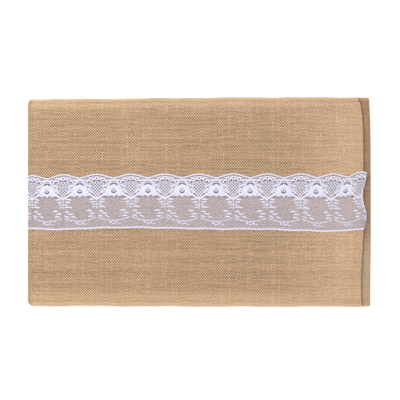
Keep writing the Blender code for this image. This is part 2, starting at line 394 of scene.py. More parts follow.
def by_index(tree, index):
    """A fixed random number between 0 and 1 for each whole number."""
    node = tree.nodes.new("ShaderNodeTexWhiteNoise")
    node.noise_dimensions = "1D"
    tree.links.new(index, node.inputs["W"])
    return node.outputs["Value"]


def blended(tree, factor, first, second):
    """A colour between two colours or sockets."""
    node = tree.nodes.new("ShaderNodeMix")
    node.data_type = "RGBA"
    for index, value in ((0, factor), (6, first), (7, second)):
        feed(tree, node.inputs[index], value)
    return node.outputs[2]


YARN_PITCH = 0.00185
YARN_COVER = 0.9  # how much of its pitch the widest yarn fills
YARN_STRAY = 0.0055  # how far the rows of yarns wander sideways, for a noise of 1


def plain_weave_group():
    """Yarns over and under each other in a plain weave, from the flat cloth's own coordinates.
    Each yarn is a half-round ridge with its own tone, thickness and slubs; the one that is on
    top shows. Painted shade darkens each yarn towards the gap colour lower down its ridge, and
    the gaps where neither covers show that colour, a painted shadow."""
    group = bpy.data.node_groups.new("plain_weave", "ShaderNodeTree")
    takes = {"Cloth": "Vector", "Pitch": "Float", "Cover": "Float"}
    takes.update(Light="Color", Dark="Color", Gap="Color")
    gives = {"Color": "Color", "Height": "Float"}
    for way, sockets in (("INPUT", takes), ("OUTPUT", gives)):
        for name, kind in sockets.items():
            group.interface.new_socket(name, in_out=way, socket_type=f"NodeSocket{kind}")
    given = group.nodes.new("NodeGroupInput")
    result = group.nodes.new("NodeGroupOutput")
    cloth, pitch = given.outputs["Cloth"], given.outputs["Pitch"]

    # Each of these adds a Math node.
    def plus(a, b):
        return calc(group, "ADD", a, b)

    def minus(a, b):
        return calc(group, "SUBTRACT", a, b)

    def times(a, b):
        return calc(group, "MULTIPLY", a, b)

    # Each set of yarns: the place across them in yarns, the yarn's number, the place along it.
    parts = group.nodes.new("ShaderNodeSeparateXYZ")
    group.links.new(cloth, parts.inputs[0])
    yarns = []
    for mine, other in ((0, 1), (1, 0)):
        stray = minus(noise(group, cloth, 24 + 9 * mine), 0.5)
        place = plus(parts.outputs[mine], times(stray, YARN_STRAY))
        count = calc(group, "DIVIDE", place, times(pitch, 1.0 + 0.06 * mine))
        yarns.append((count, calc(group, "FLOOR", count), parts.outputs[other]))

    # How often slubs, fibres and patches of tone come, in a metre.
    slubs, fibres, patches = 26.0, 300.0, 7.0
    # These only set one thing's random numbers apart from another's.
    per_set, per_yarn, per_crossing = 311.0, 7.31, 61.7
    # A yarn's half width in pitches: the least, and what a slub and its own thickness add.
    least, slub_adds, own_adds = 0.24, 0.34, 0.35
    # Its height is a half circle on a cosine that rises over every other crossing. Its tone, 0
    # dark and 1 light, comes from these shares of the yarn, slubs, crossing, set and fibres. The
    # set's share is painted light: one set of yarns is lighter than the other, as the light falls.
    rise, by_yarn, by_slub, by_crossing, painted_light_by_set, by_fibre = 0.42, 0.34, 0.34, 0.55, 1.15, 0.9
    surfaces = []
    for mine, other in ((0, 1), (1, 0)):
        count, index, along = yarns[mine]
        cross, cross_index, _ = yarns[other]
        own = by_index(group, plus(index, per_set * mine))
        streak = joined(group, times(along, slubs), times(index, per_yarn))
        slub = noise(group, streak, 1.0, 1.0)
        thickness = plus(least, times(plus(slub, times(own, own_adds)), slub_adds))
        off = minus(minus(count, index), 0.5)
        off = calc(group, "DIVIDE", off, times(given.outputs["Cover"], thickness))
        ridge = calc(group, "SQRT", calc(group, "MAXIMUM", minus(1.0, times(off, off)), 0.0))
        wave = calc(group, "COSINE", times(plus(minus(cross, 0.5 - float(mine)), index), math.pi))
        there = calc(group, "GREATER_THAN", ridge, 0.02)
        height = minus(plus(ridge, times(wave, rise)), minus(1.0, there))
        fibre = noise(group, joined(group, times(along, fibres), times(count, 9.0)), 1.0)
        spot = by_index(group, plus(index, times(cross_index, per_crossing)))
        tone = plus(times(own, by_yarn), times(slub, by_slub))
        # Painted light: one set of yarns lighter than the other.
        tone = plus(plus(tone, times(spot, by_crossing)), painted_light_by_set * (mine - 0.5))
        tone = plus(tone, times(minus(fibre, 0.5), by_fibre))
        surfaces.append((height, tone))
    (first, first_tone), (second, second_tone) = surfaces
    top = calc(group, "MAXIMUM", first, second)
    tone = group.nodes.new("ShaderNodeMix")
    group.links.new(calc(group, "GREATER_THAN", first, second), tone.inputs[0])
    group.links.new(second_tone, tone.inputs[2])
    group.links.new(first_tone, tone.inputs[3])
    patch = times(minus(noise(group, cloth, patches, 3.0), 0.5), 0.5)
    shade = plus(tone.outputs[0], patch)
    colour = blended(group, shade, given.outputs["Dark"], given.outputs["Light"])
    # Painted shade: darker lower down the yarns, down to the gaps' painted shadow colour.
    lit_by_height = ramp(group, top, 0.05, 1.30, kind="LINEAR")  # of the height, 0 being a bare gap
    colour = blended(group, lit_by_height, given.outputs["Gap"], colour)
    group.links.new(colour, result.inputs["Color"])
    group.links.new(calc(group, "MAXIMUM", top, -0.4), result.inputs["Height"])
    return group


plain_weave = plain_weave_group()


def flat_cloth(tree):
    """The piece's own flat coordinates."""
    node = tree.nodes.new("ShaderNodeUVMap")
    node.uv_map = "flat_cloth"
    return node.outputs[0]


def new_material(name, roughness, specular):
    """A new material, with its tree and its Principled shader."""
    made = bpy.data.materials.new(name)
    made.use_nodes = True
    shader = made.node_tree.nodes["Principled BSDF"]
    shader.inputs["Roughness"].default_value = roughness
    shader.inputs["Specular IOR Level"].default_value = specular
    return made, made.node_tree, shader


def bumped(tree, shader, height, distance):
    """Feeds the shader's normal from a height, the given number of metres for a height of 1."""
    node = tree.nodes.new("ShaderNodeBump")
    node.inputs["Distance"].default_value = distance
    tree.links.new(height, node.inputs["Height"])
    tree.links.new(node.outputs[0], shader.inputs["Normal"])


# Where the burlap changes its colour, in metres across from the middle line or along from the
# fold, each from where it starts to where it is full.
# The long edges' band: painted shade where the cloth rolls round, with the hem's warmer colour.
EDGE_BAND = (EDGE_Y - 0.006, EDGE_Y - 0.0015)
BACKED_ACROSS, BACKED_ALONG = (EDGE_Y - 0.026, EDGE_Y - 0.008), (0.355, 0.470)
RUBBED_ACROSS, RUBBED_ALONG = (-0.035, -0.070), (0.455, 0.470)
# The fold's band: painted shade round the fold.
CREASE_BAND = (0.0075, 0.0035)
# And what to: tints of the light yarns and how much of them, painted shade along the fold and
# painted shade with the hem's warmer colour by the long edges, and for backed cloth a brighter
# weave with a little plain jute in its gaps.
EDGE_SHADE_TINT, CREASE_SHADE = (0.925, 0.91, 0.885), (0.545, 0.505, 0.435)
EDGE_SHARE, CREASE_SHARE, FILL_SHARE = 0.55, 0.75, 0.14
BACKED_GAIN, FILL_GAIN = 1.14, 1.15
RUBBED_PALE = (0.62, 0.47, 0.35)
WEAVE_RELIEF = 0.00030  # metres for a height of 1


def burlap(name, light, dark, gap, backing=1.0, rubbed=0.0):
    """Natural jute burlap: dull, hairy, with the weave in its colour and its relief. Lighter
    where turned cloth behind it fills the gaps, by the backing, and darker along the fold by
    painted shade. Darker and warmer along its rolled long edges: painted shade there, with the
    hem's warmer colour. A turning is rubbed pale on the near half of the runner's end."""
    made, tree, shader = new_material(name, 0.92, 0.15)
    weave = tree.nodes.new("ShaderNodeGroup")
    weave.node_tree = plain_weave
    cloth = flat_cloth(tree)
    settings = {"Cloth": cloth, "Pitch": YARN_PITCH, "Cover": YARN_COVER}
    settings.update(Light=light, Dark=dark, Gap=gap)
    for setting, value in settings.items():
        feed(tree, weave.inputs[setting], value)
    parts = tree.nodes.new("ShaderNodeSeparateXYZ")
    tree.links.new(cloth, parts.inputs[0])
    along = calc(tree, "ABSOLUTE", parts.outputs[0])
    across = calc(tree, "ABSOLUTE", parts.outputs[1])
    backed = [
        ramp(tree, across, *BACKED_ACROSS, backing),
        ramp(tree, along, *BACKED_ALONG, backing),
    ]
    brighter = tree.nodes.new("ShaderNodeVectorMath")
    brighter.operation = "SCALE"
    brighter.inputs["Scale"].default_value = BACKED_GAIN
    tree.links.new(weave.outputs["Color"], brighter.inputs[0])
    filled = tuple(FILL_GAIN * part for part in light)
    filled = blended(tree, FILL_SHARE, brighter.outputs[0], filled)
    colour = blended(tree, calc(tree, "MAXIMUM", *backed), weave.outputs["Color"], filled)
    if rubbed:
        pale = [
            ramp(tree, parts.outputs[1], *RUBBED_ACROSS, rubbed),
            ramp(tree, along, *RUBBED_ALONG, rubbed),
        ]
        colour = blended(tree, calc(tree, "MINIMUM", *pale), colour, RUBBED_PALE)
    # Painted shade: darker bands along the rolled long edges and round the fold.
    for place, band, share, shade_tint in (
        (across, EDGE_BAND, EDGE_SHARE, EDGE_SHADE_TINT),
        (along, CREASE_BAND, CREASE_SHARE, CREASE_SHADE),
    ):
        darker = tuple(a * b for a, b in zip(light, shade_tint))
        colour = blended(tree, ramp(tree, place, *band, share), colour, darker)
    tree.links.new(colour, shader.inputs["Base Color"])
    bumped(tree, shader, weave.outputs["Height"], WEAVE_RELIEF)
    return made


# Its third colour is the painted shadow in the weave's gaps.
jute = burlap("burlap", (0.72, 0.495, 0.315), (0.255, 0.158, 0.088), (0.09, 0.05, 0.025))

cloth_arc = math.pi / 2 * (CLOTH_IN + CLOTH_OUT) / 2
outer_rows, inner_rows = cloth_rows()
for half, node in ((LOWER, "burlap_lower_panel"), (0, "burlap_fold"), (UPPER, "burlap_upper_panel")):
    if half:
        end = cloth_arc + END_X[half] - FOLD_X
        q = half * stations(cloth_arc, end, True, True)
        noses = (False, True)
    else:
        q = np.linspace(-cloth_arc, cloth_arc, 19)
        noses = (False, False)
    (points, quads), uv = slab(q, outer_rows, inner_rows, cloth_arc, noses)
    piece = make_piece(f"burlap_cloth_{NAMES.get(half, 'fold')}", points, quads, uv, jute)
    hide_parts(node)
    place_piece(piece, half)

# -----------------------------------------------------------------------------
# The hems: the burlap's own edges, turned twice and pressed flat against its wrong side. The
# side hems go round the fold with the cloth; an end hem closes each free end.
TURNING_MIDDLE = 0.012  # from the cloth's edge to the middle of its turning, on the flat strip
TURNING_GAP = 0.0002  # between a side hem's end and the end hem
END_INSET = 0.0004  # of the end hem behind the cloth's end
# Darker than the burlap: partly the turned hem's own tone, partly painted shadow of the upper half on the
# lower end's turning where it shows.
turned_jute_shaded = burlap(
    "turned_burlap",
    (0.60, 0.385, 0.232),
    (0.20, 0.12, 0.064),
    (0.08, 0.045, 0.022),
    backing=0.0,
    rubbed=0.36,
)


def hem_rows(low, high):
    """A pressed hem's section: flat, its two edges rounded off by half circles."""
    y = np.unique(np.concatenate([np.arange(low, high, FINE * 2), [high]]))
    radius = (HEM_OUT - HEM_IN) / 2
    inset = np.minimum(y - low, high - y)
    fall = radius * (1 - np.sqrt(np.clip(1 - (1 - np.clip(inset / radius, 0, 1)) ** 2, 0.04, 1)))
    return np.stack([y, HEM_OUT - fall], -1), np.stack([y, HEM_IN + fall], -1)


hem_arc = math.pi / 2 * (HEM_IN + HEM_OUT) / 2
roll = (CLOTH_OUT - HEM_IN) / 2
for side, sign in (("far", 1), ("near", -1)):
    low, high = sorted((sign * SIDE_HEM_Y, sign * (EDGE_Y - roll)))
    outer, inner = hem_rows(low, high)
    for half in (LOWER, 0, UPPER):
        if half:
            end = hem_arc + END_HEM_X[half] - TURNING_GAP - FOLD_X
            q = half * stations(hem_arc, end, True, False)
        else:
            q = np.linspace(-hem_arc, hem_arc, 15)
        (points, quads), uv = slab(q, outer, inner, hem_arc, (False, bool(half)))
        uv = uv + np.array([0, sign * (EDGE_Y - TURNING_MIDDLE)])
        name = NAMES.get(half, "fold")
        piece = make_piece(f"{side}_side_turning_{name}", points, quads, uv, turned_jute_shaded)
        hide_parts(f"{side}_side_hem_{name}")
        place_piece(piece, half)

for half in (LOWER, UPPER):
    reach = EDGE_Y - roll * 0.6
    outer, inner = hem_rows(-reach, reach)
    q = half * (hem_arc + np.linspace(END_HEM_X[half], END_X[half] - END_INSET, 9) - FOLD_X)
    (points, quads), uv = slab(q, outer, inner, hem_arc, (True, True))
    piece = make_piece(f"end_turning_{NAMES[half]}", points, quads, uv, turned_jute_shaded)
    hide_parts(f"end_hem_{NAMES[half]}")
    place_piece(piece, half)

# -----------------------------------------------------------------------------
# The lace: a machine-made white band with one scalloped and one corded edge, sewn along the
# cloth. Fine net carries thick figures: eyelets under the scallops, a shell and a flower in
# turn, leaves and swags below. Both are real threads here, drawn flat and then laid on the cloth.
MM = 0.001
LACE_IN, LACE_OUT = depths("lace_upper")
LACE_FAR_Y, LACE_NEAR_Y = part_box("lace_upper")[1].y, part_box("lace_upper")[0].y
LACE_END_X = {half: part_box(f"lace_{NAMES[half]}")[1].x for half in (LOWER, UPPER)}
REPEAT = 0.0492
SCALLOP_DEPTH = 5.6  # mm, like every size within the pattern
PERIOD = REPEAT / MM
FOLD_EASE, FOLD_FULLNESS = 0.022, 0.43  # over what length it is eased on, and how much
UPPER_EASE, UPPER_FULLNESS = 0.037, 0.405
lace_arc = math.pi / 2 * (LACE_IN + LACE_OUT) / 2
LACE_ENDS = {half: half * (lace_arc + LACE_END_X[half] - FOLD_X) for half in (LOWER, UPPER)}


def drawn_length(q):
    """Length of lace in the pattern up to the place q along the strip: as long as the strip, and
    fuller near the fold and the upper end, where it was eased on, each falling off as exp."""
    at_fold = np.sign(q) * (1 - np.exp(-np.abs(q) / FOLD_EASE))
    at_end = np.exp(-(LACE_ENDS[UPPER] - np.minimum(q, LACE_ENDS[UPPER])) / UPPER_EASE)
    return q + FOLD_EASE * FOLD_FULLNESS * at_fold + UPPER_EASE * UPPER_FULLNESS * at_end


q_table = np.linspace(LACE_ENDS[LOWER] - 0.02, LACE_ENDS[UPPER] + 0.001, 4000)
p_table = drawn_length(q_table)
PEAK_AT = float(drawn_length(np.array(lace_arc - FOLD_X + 0.0004)))  # a peak on the runner's middle


def lace_end_bow(half, y):
    """The lace's upper end is wavy: a cosine across the band. Its lower end is straight."""
    if half == LOWER:
        return 0 * y
    return -0.0023 + 0.0030 * np.cos(2 * math.pi * (y - 0.040) / 0.061)


# How far the corded edge lies inwards, in mm, at places so many mm from the fold.
SEWN_AT = (0, 30, 60, 100, 150, 210, 280, 350, 390, 420, 455, 478)
SEWN_OFF = (2.7, 1.0, 0.9, 2.8, 4.0, 2.8, 1.5, 1.4, 0.0, -1.4, -1.4, 1.3)
# How far the scallops lie outwards all along, inwards at the fold and outwards at a free end.
SCALLOPS_OUT, FOLD_IN, END_OUT = 0.0013, 0.0024, 0.0027


def lay_lace(p, y, h):
    """Carries pattern coordinates, along, across and up in metres, onto the cloth. The band was
    not sewn on quite straight: its corded edge wanders, both edges draw together by the fold, and
    the scallops lift towards the ends."""
    q = np.interp(p, p_table, q_table)
    below = np.clip((LACE_FAR_Y - y) / (LACE_FAR_Y - LACE_NEAR_Y), 0, 1)
    s = np.abs(q) / MM
    corded = np.interp(s, SEWN_AT, SEWN_OFF) * MM
    scalloped = SCALLOPS_OUT * smooth((0.45 - below) / 0.15) - FOLD_IN * np.exp(-s / 45) * (1 - below)
    scalloped = scalloped + END_OUT * smooth((s - 450) / 28) * (1 - below)
    return on_strip(q, y + below * corded + scalloped, LACE_IN + h, lace_arc, bow=lace_end_bow)


def scallop_drop(x):
    """How far the scalloped edge lies below its peaks, in mm: half a cosine and half arches."""
    phase = math.pi * x / PERIOD
    return SCALLOP_DEPTH * ((1 - np.cos(2 * phase)) / 2 + 1 - np.abs(np.cos(phase))) / 2


def padded_band(left, right, height, closed=False):
    """A padded line between two lines of (x, y) points: a low flat-topped arch, in mm."""
    span = right - left
    section = [(left, 0), (left + 0.28 * span, height), (left + 0.72 * span, height), (right, 0)]
    points = np.stack([np.column_stack([at, np.full(len(at), up)]) for at, up in section], axis=1)
    quads = tube_quads(len(left), 4, closed)
    if not closed:
        first, last = np.arange(4), np.arange(4) + 4 * (len(left) - 1)
        quads = np.concatenate([quads, [first[::-1], last]])
    return outward(points.reshape(-1, 3), quads)


def satin(points, width, height, steps=0, pointed=False, closed=False):
    """A line of satin stitch along points: smoothed to steps by a cubic through them, as wide as
    given or, when pointed, as sin^0.6 of the way along, so that it is a leaf."""
    points = np.asarray(points, float)
    if steps:
        way = np.linspace(0, len(points) - 1, steps)
        k = np.clip(way.astype(int), 0, len(points) - 2)
        t = (way - k)[:, None]
        slope = np.gradient(points, axis=0)
        points = (
            (2 * t**3 - 3 * t**2 + 1) * points[k]
            + (t**3 - 2 * t**2 + t) * slope[k]
            + (3 * t**2 - 2 * t**3) * points[k + 1]
            + (t**3 - t**2) * slope[k + 1]
        )
    if closed:
        forward = np.roll(points, -1, axis=0) - np.roll(points, 1, axis=0)
    else:
        forward = np.gradient(points, axis=0)
    forward = forward / np.linalg.norm(forward, axis=1, keepdims=True)
    out = np.stack([-forward[:, 1], forward[:, 0]], -1)
    half = np.full(len(points), width / 2)
    if pointed:
        half = half * np.sin(np.pi * np.linspace(0.06, 0.94, len(points))) ** 0.6
    half = half[:, None]
    return padded_band(points - out * half, points + out * half, height, closed)


def ring(x, y, wide, high, width, height, steps=14):
    """A stitched eyelet: a closed line round an ellipse."""
    turn = np.linspace(0, 2 * np.pi, steps, endpoint=False)
    line = np.stack([x + wide * np.cos(turn), y + high * np.sin(turn)], -1)
    return satin(line, width, height, closed=True)


def scalloped_border():
    """The outer cord and a thinner one inside it, and under them the five eyelets of each scallop,
    joined by short bars. Short ties join the two cords."""
    x = np.linspace(0, PERIOD, 29)
    made = [
        satin(np.stack([x, -scallop_drop(x) - 1.1], -1), 2.2, 0.75),
        satin(np.stack([x, -scallop_drop(x) - 4.2], -1), 1.2, 0.6),
    ]
    eyelets = [(-16.6, -12.0), (-8.4, -8.7), (0, -7.0), (8.4, -8.7), (16.6, -12.0)]
    made += [ring(x, y, 2.4, 2.25, 2.2, 0.62) for x, y in eyelets]
    links = [*eyelets, (24.6, -9.4), (PERIOD - 16.6, -12.0)]
    for (x0, y0), (x1, y1) in zip(links, links[1:]):
        step = np.array([x1 - x0, y1 - y0])
        clear = 3.0 * step / np.linalg.norm(step)
        start = np.array([x0, y0]) + (clear if (x0, y0) in eyelets else 0)
        end = np.array([x1, y1]) - (clear if y1 == -12.0 or (x1, y1) in eyelets else 0)
        made.append(satin([start, (start + end) / 2 + [0, 0.5], end], 3.2, 0.55, steps=5))
    for x in (-12.5, -4.2, 4.2, 12.5, 21.5, 27.7):
        edge_y = -scallop_drop(x)
        made.append(satin([(x, edge_y - 1.9), (x, edge_y - 3.6)], 0.8, 0.4))
    return made


def shell():
    """The fan of coarse lattice under each scallop's peak, its bumpy upper rim, and the heart-shaped
    double band that closes it below."""
    bulge = 0.018  # the rim falls by this much times x squared
    made = []
    for way in (-1, 1):
        for k in range(-4, 5):
            t = np.linspace(-26, 26, 261)
            middle = np.array([k * 4.4, -20.5])
            line = middle + t[:, None] * np.array([way * 0.707, 0.707])
            x, y = line[:, 0], line[:, 1]
            inside = (y < -12.2 - bulge * x**2) & (y > -35.0 + 1.05 * np.abs(x)) & (np.abs(x) < 12.8)
            if inside.sum() > 12:
                line = line[inside]
                made.append(satin([line[0], line.mean(0), line[-1]], 1.15, 0.42))
    for x in np.linspace(-12.6, 12.6, 10):
        made.append(ring(x, -12.3 - bulge * x**2, 0.62, 0.55, 1.15, 0.55, steps=8))
    heart = np.array([(-16.5, -25.0), (-12.5, -28.8), (-7.0, -32.4), (-2.6, -34.6), (0, -36.8)])
    cheek = np.array([(10.5, -21.5), (8.4, -24.5), (5.2, -27.2)])
    for side in (-1, 1):
        made.append(satin(heart * [side, 1], 2.9, 0.68, steps=11))
        made.append(satin((heart[1:4] + [1.9, 3.3]) * [side, 1], 1.3, 0.5, steps=6))
        made.append(satin(cheek * [side, 1], 1.3, 0.5, steps=6))
    return made


def flower():
    """A padded flower between the shells: a button with a hole, a ring of petals round it, and
    two looped leaves on either side."""
    x0, y0 = PERIOD / 2, -24.4
    centre = np.array([x0, y0])
    turn = np.linspace(0, 2 * np.pi, 40, endpoint=False)
    round_it = np.stack([np.cos(turn), np.sin(turn)], -1)
    lobes = (8.1 + 0.75 * np.cos(8 * turn))[:, None] * np.array([1.0, 1.06])

    def more_below(sine):
        """0 above the button and 1 below it, where its ring opens wider."""
        return smooth(0.1 - 1.3 * sine)

    hole = (2.6 + 2.0 * more_below(np.sin(turn)))[:, None]
    made = [
        padded_band(centre + hole * round_it, centre + lobes * round_it, 0.5, closed=True),
        ring(x0, y0, 2.0, 1.9, 1.7, 0.75, steps=16),
    ]
    for k in range(8):
        a = math.pi / 8 + k * math.pi / 4
        way = np.array([math.cos(a), math.sin(a)])
        root = 3.2 + 1.6 * float(more_below(way[1]))
        petal = [centre + way * r for r in (root, root + 1.2, 6.6, 8.4)]
        made.append(satin(petal, 3.4, 0.74, pointed=True, steps=6))
    # Beside the flower: the line's points, out from its middle, then its width, height and steps.
    beside = (
        ([(7.4, -17.5), (9.0, -24.2), (7.4, -31.0)], 3.2, 0.55, 8),
        ([(8.5, -24.1), (16.4, -24.0)], 1.9, 0.5, 4),
        ([(5.5, -16.2), (11.0, -16.6), (16.0, -18.4)], 1.9, 0.5, 7),
        ([(5.5, -32.4), (9.5, -31.6), (15.0, -30.9)], 2.0, 0.55, 7),
    )
    for side in (-1, 1):
        made += [ring(x0 + side * 12.6, y, 3.3, 2.05, 1.6, 0.6, steps=16) for y in (-20.0, -27.9)]
        for line, width, height, steps in beside:
            made.append(satin(np.array(line) * [side, 1] + [x0, 0], width, height, steps=steps))
    crown = np.array([(-6.4, -15.3), (-3.6, -13.4), (0, -12.7), (3.6, -13.4), (6.4, -15.3)])
    made.append(satin(crown + [x0, 0], 1.5, 0.55, steps=11))
    return made


def leaves_and_swags():
    """The stem below each shell with its pairs of leaves, and the swag that hangs from stem to
    stem, with sprigs beneath it. Each leaf is its three points and its width."""
    leaves = (
        ((-11.8, -37.4), (-7.2, -36.6), (-3.2, -36.2), 2.1),
        ((3.8, -36.2), (8.2, -36.7), (12.6, -37.2), 2.1),
        ((-9.2, -41.6), (-5.2, -40.9), (-1.2, -40.2), 1.9),
        ((2.6, -40.4), (7.0, -40.9), (11.4, -40.8), 1.9),
        ((-6.8, -45.6), (-4.2, -44.2), (-1.0, -44.8), 1.6),
        ((1.2, -45.0), (4.0, -44.4), (7.0, -46.0), 1.6),
        ((-6.6, -49.4), (-3.6, -48.6), (-1.4, -47.0), 1.5),
        ((2.0, -48.8), (7.6, -47.9), (14.2, -49.2), 2.0),
        ((-15.6, -54.4), (-11.6, -53.6), (-6.8, -53.9), 2.1),
        ((2.4, -54.8), (6.2, -54.6), (9.8, -55.2), 2.0),
        ((-11.4, -58.8), (-6.6, -57.6), (-1.8, -58.6), 1.8),
        ((6.6, -57.4), (11.4, -58.4), (16.0, -57.8), 1.8),
        ((-12.8, -62.8), (-8.6, -62.0), (-4.4, -62.4), 2.0),
        ((1.4, -60.4), (5.8, -61.8), (9.4, -64.0), 1.8),
        ((11.6, -61.8), (15.8, -62.6), (19.6, -64.4), 1.7),
        ((18.0, -71.4), (20.2, -72.4), (22.6, -72.0), 1.6),
        ((22.4, -74.4), (24.6, -73.6), (26.8, -74.2), 1.6),
        ((26.6, -72.2), (29.0, -72.8), (31.2, -71.6), 1.6),
        ((31.0, -73.8), (33.4, -74.0), (35.6, -73.2), 1.4),
    )
    made = [satin(leaf[:3], 1.25 * leaf[3], 0.7, pointed=True, steps=7) for leaf in leaves]
    made.append(satin([(0, -36.0), (0.3, -42.0), (-0.2, -47.0), (0.2, -51.0)], 1.1, 0.5, steps=8))
    made += [ring(0.1, y, 0.95, 1.15, 0.75, 0.5, steps=8) for y in (-44.3, -48.6)]
    swag_x = np.linspace(1.5, PERIOD - 1.5, 8)
    swag_y = -68.8 + 6.0 * np.abs(2 * (swag_x / PERIOD - 0.5)) ** 2.2
    swag = np.stack([swag_x, swag_y], -1)
    for start, end in zip(swag, swag[1:]):
        overlap = (end - start) * 0.06
        line = [start - overlap, (start + end) / 2 - [0, 0.5], end + overlap]
        made.append(satin(line, 1.75, 0.6, pointed=True, steps=6))
    made += [ring(x, -70.6, 0.8, 0.7, 0.7, 0.45, steps=8) for x in (20.6, 24.6, 28.6)]
    return made


def corded_edge():
    """The straight edge's cord, with a small picot about every 7 mm."""
    x = np.linspace(0, PERIOD, 43)
    turn = 2 * np.pi * x / PERIOD
    return [satin(np.stack([x, -80.1 + 0.38 * np.sin(7 * turn) + 0.3 * np.sin(turn)], -1), 2.5, 0.76)]


def gathered(shapes):
    """One set of points and faces from several."""
    sizes = np.cumsum([0] + [len(points) for points, _ in shapes[:-1]])
    points = np.concatenate([points for points, _ in shapes])
    quads = np.concatenate([quads + size for (_, quads), size in zip(shapes, sizes)])
    return points, quads


def copies(quads, count, size):
    """The faces of count copies of a shape that has as many points as size."""
    return (quads[None] + np.arange(count)[:, None, None] * size).reshape(-1, quads.shape[1])


def net_threads(low, high):
    """The ground: straight threads slanting both ways across the band, three-sided, on a pitch
    of about 2 mm, each ending under the outer cord and the corded edge."""
    pitch, slant, width, thick = 1.9, 0.72, 0.48, 0.24
    bottom, spare = -80.0, 60
    shapes = []
    for way in (-1, 1):
        foot = np.arange(low - spare, high + spare, pitch)
        t = np.concatenate([[0], np.linspace(0.01, 0.99, 15), [1]])
        rough_top = foot + way * slant * (-bottom)
        rise = -bottom - 1.5 - scallop_drop(rough_top - way * slant * 4.0)
        y = bottom + t[None] * rise[:, None]
        x = foot[:, None] + way * slant * (y - bottom)
        curl = 0.16 * np.sin(y * 2.1 + foot[:, None])
        size = np.where((t > 0) & (t < 1), 1, 0.02)[:, None]
        across = np.array([-0.5, 0.0, 0.5]) * width * size
        up = np.array([0.0, 1.0, 0.0]) * thick * size + 0.10 * (way > 0)
        px = (x + curl)[..., None] + across
        py = np.broadcast_to(y[..., None], px.shape)
        pz = np.broadcast_to(up, px.shape)
        points = np.stack([px, py, pz], -1)
        quads = copies(tube_quads(len(t), 3), len(foot), 3 * len(t))
        shapes.append(outward(points.reshape(-1, 3), quads))
    return gathered(shapes)


def cotton(name, colour, shade, grain, painted_shade=None):
    """Cotton thread: soft, slightly glossy, its twist as a grain in its colour and its relief.
    Lace is given a darker colour too, painted shade for the net behind its thick figures."""
    made, tree, shader = new_material(name, 0.68, 0.25)
    threads = noise(tree, flat_cloth(tree), grain)
    tone = blended(tree, threads, shade, colour)
    if painted_shade:
        lit = tree.nodes.new("ShaderNodeAttribute")
        lit.attribute_name = "lit"
        tone = blended(tree, lit.outputs["Fac"], painted_shade, tone)
    tree.links.new(tone, shader.inputs["Base Color"])
    bumped(tree, shader, threads, 0.00012)
    return made


def trimmed(points, quads, low, high):
    """The triangles of a closed mesh between two planes across the band, with the cuts closed."""
    near = (points[quads, 0].max(1) > low) & (points[quads, 0].min(1) < high)
    used, index = np.unique(quads[near], return_inverse=True)
    rough = bpy.data.meshes.new("uncut")
    rough.from_pydata(points[used].tolist(), [], index.reshape(-1, 4).tolist())
    work = bmesh.new()
    work.from_mesh(rough)
    for place, way in ((low, -1), (high, 1)):
        everything = work.verts[:] + work.edges[:] + work.faces[:]
        cut = bmesh.ops.bisect_plane(
            work, geom=everything, dist=1e-7, plane_co=(place, 0, 0), plane_no=(way, 0, 0), clear_outer=True
        )["geom_cut"]
        bmesh.ops.holes_fill(work, edges=[part for part in cut if isinstance(part, bmesh.types.BMEdge)])
    bmesh.ops.triangulate(work, faces=work.faces[:])
    work.to_mesh(rough)
    work.free()
    kept_points = np.empty(len(rough.vertices) * 3)
    rough.vertices.foreach_get("co", kept_points)
    triangles = np.empty(len(rough.polygons) * 3, int)
    rough.polygons.foreach_get("vertices", triangles)
    bpy.data.meshes.remove(rough)
    return kept_points.reshape(-1, 3), triangles.reshape(-1, 3)


LACE_GRAIN, SEWING_GRAIN = 2600, 4200  # of the twist, per metre
FIGURE_LIFT = 0.00008  # of the figures over the net
# Painted shade: the net above this line takes the darker colour, for the figures' shade on it.
SHADE_ABOVE, SHADE_FADE = -32.0, 2.5  # the net is in the figures' shade above this line, in mm
white_lace = cotton(
    "white_lace", (0.78, 0.765, 0.88), (0.55, 0.535, 0.645), LACE_GRAIN, painted_shade=(0.27, 0.235, 0.275)
)
repeat_shape = gathered(scalloped_border() + shell() + flower() + leaves_and_swags() + corded_edge())
pattern_low, pattern_high = p_table[0] - PEAK_AT, p_table[-1] - PEAK_AT
repeats = range(math.floor(pattern_low / REPEAT), math.ceil(pattern_high / REPEAT))
figure_points = np.concatenate(
    [repeat_shape[0] * MM + [PEAK_AT + k * REPEAT, 0, 0] for k in repeats]
)
figure_quads = copies(repeat_shape[1], len(repeats), len(repeat_shape[0]))
net_points, net_quads = net_threads(pattern_low / MM, pattern_high / MM)
net_points = net_points * MM
net_points[:, 0] += PEAK_AT

FOLD_SHARE = 0.00006  # of each flat run, so that the halves' cut ends stay apart when it lies open
meets = lace_arc + FOLD_SHARE
cuts = drawn_length(np.array([LACE_ENDS[LOWER], -meets, meets, LACE_ENDS[UPPER]]))
doubled_at = cuts[3] / MM - 1.5  # the upper end is turned under, and is double there
doubled = np.array([(doubled_at, -14.0), (doubled_at, -34.0), (doubled_at, -58.0)])
turned_end = satin(doubled, 2.4, 0.5, steps=30, pointed=True)
figures = gathered(
    [(figure_points + [0, 0, FIGURE_LIFT], figure_quads), (turned_end[0] * MM, turned_end[1])]
)

